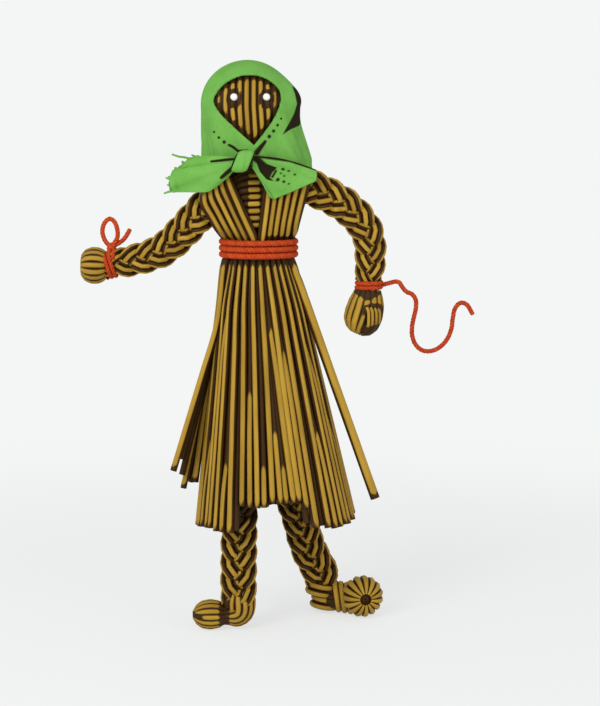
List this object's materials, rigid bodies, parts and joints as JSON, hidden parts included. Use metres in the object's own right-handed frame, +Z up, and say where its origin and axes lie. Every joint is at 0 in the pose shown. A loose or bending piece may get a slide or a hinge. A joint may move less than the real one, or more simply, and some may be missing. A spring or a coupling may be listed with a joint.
{
  "type": "straw doll",
  "caption": "Standing doll of bundled and plaited straw with a knotted headscarf, bead eyes, a bound waist over a straw skirt, and arms and legs that bend.",
  "frame": {"origin": "on the floor under the middle of the doll's box, free threads aside", "axes": "+Z up, the doll faces -Y, +X to the right as seen from the front"},
  "size_m": [0.2087, 0.078, 0.2995],
  "materials": {
    "straw": "dry straw, satin along the stalk",
    "scarf_cloth": "matt woven cotton",
    "red_thread": "matt twisted thread",
    "bead": "glossy bead"
  },
  "bodies": {
    "torso": {"head_bundle": "straw", "arm_bundle": "straw", "body_bundle": "straw", "leg_bundle": "straw", "bodice_front_left": "straw", "bodice_front_right": "straw", "bodice_back_left": "straw", "bodice_back_right": "straw", "skirt_left_front": "straw", "skirt_front_left": "straw", "skirt_front_right": "straw", "skirt_right_front": "straw", "skirt_right_back": "straw", "skirt_back_right": "straw", "skirt_back_left": "straw", "skirt_left_back": "straw", "stray_straw_left_front": "straw", "stray_straw_left_middle": "straw", "stray_straw_left_back": "straw", "stray_straw_right": "straw", "scarf_hood": "scarf_cloth", "scarf_knot": "scarf_cloth", "scarf_left_tail": "scarf_cloth", "scarf_right_tail": "scarf_cloth", "left_eye": "bead", "right_eye": "bead", "neck_tie": "red_thread", "waist_winding": "red_thread"},
    "left_upper_arm": {"left_upper_arm": "straw"},
    "left_forearm": {"left_forearm": "straw", "left_hand": "straw", "left_wrist_tie": "red_thread", "left_wrist_knot": "red_thread", "left_wrist_loop": "red_thread", "left_wrist_end": "red_thread"},
    "right_upper_arm": {"right_upper_arm": "straw"},
    "right_forearm": {"right_forearm": "straw", "right_hand": "straw", "right_wrist_tie": "red_thread", "right_wrist_tail": "red_thread"},
    "left_leg": {"left_leg": "straw", "left_foot": "straw"},
    "right_leg": {"right_leg": "straw", "right_foot": "straw"}
  },
  "joints": [
    {"name": "left_shoulder", "type": "hinge", "parent": "torso", "child": "left_upper_arm", "pos_m": [-0.01048, -0.00599, 0.2215], "axis": [0, 1, 0], "range_deg": [-20, 25]},
    {"name": "left_elbow", "type": "hinge", "parent": "left_upper_arm", "child": "left_forearm", "pos_m": [-0.03448, -0.00599, 0.2015], "axis": [0, 1, 0], "range_deg": [-25, 25]},
    {"name": "right_shoulder", "type": "hinge", "parent": "torso", "child": "right_upper_arm", "pos_m": [0.04052, -0.00599, 0.2325], "axis": [0, -1, 0], "range_deg": [-4, 30]},
    {"name": "right_elbow", "type": "hinge", "parent": "right_upper_arm", "child": "right_forearm", "pos_m": [0.06892, -0.00599, 0.214], "axis": [0, -1, 0], "range_deg": [-4, 50]},
    {"name": "left_hip", "type": "hinge", "parent": "torso", "child": "left_leg", "pos_m": [0.00622, -0.00099, 0.186], "axis": [1, 0, 0], "range_deg": [-5, 10]},
    {"name": "right_hip", "type": "hinge", "parent": "torso", "child": "right_leg", "pos_m": [0.02282, -0.00099, 0.186], "axis": [1, 0, 0], "range_deg": [-14, 1.5]}
  ]
}
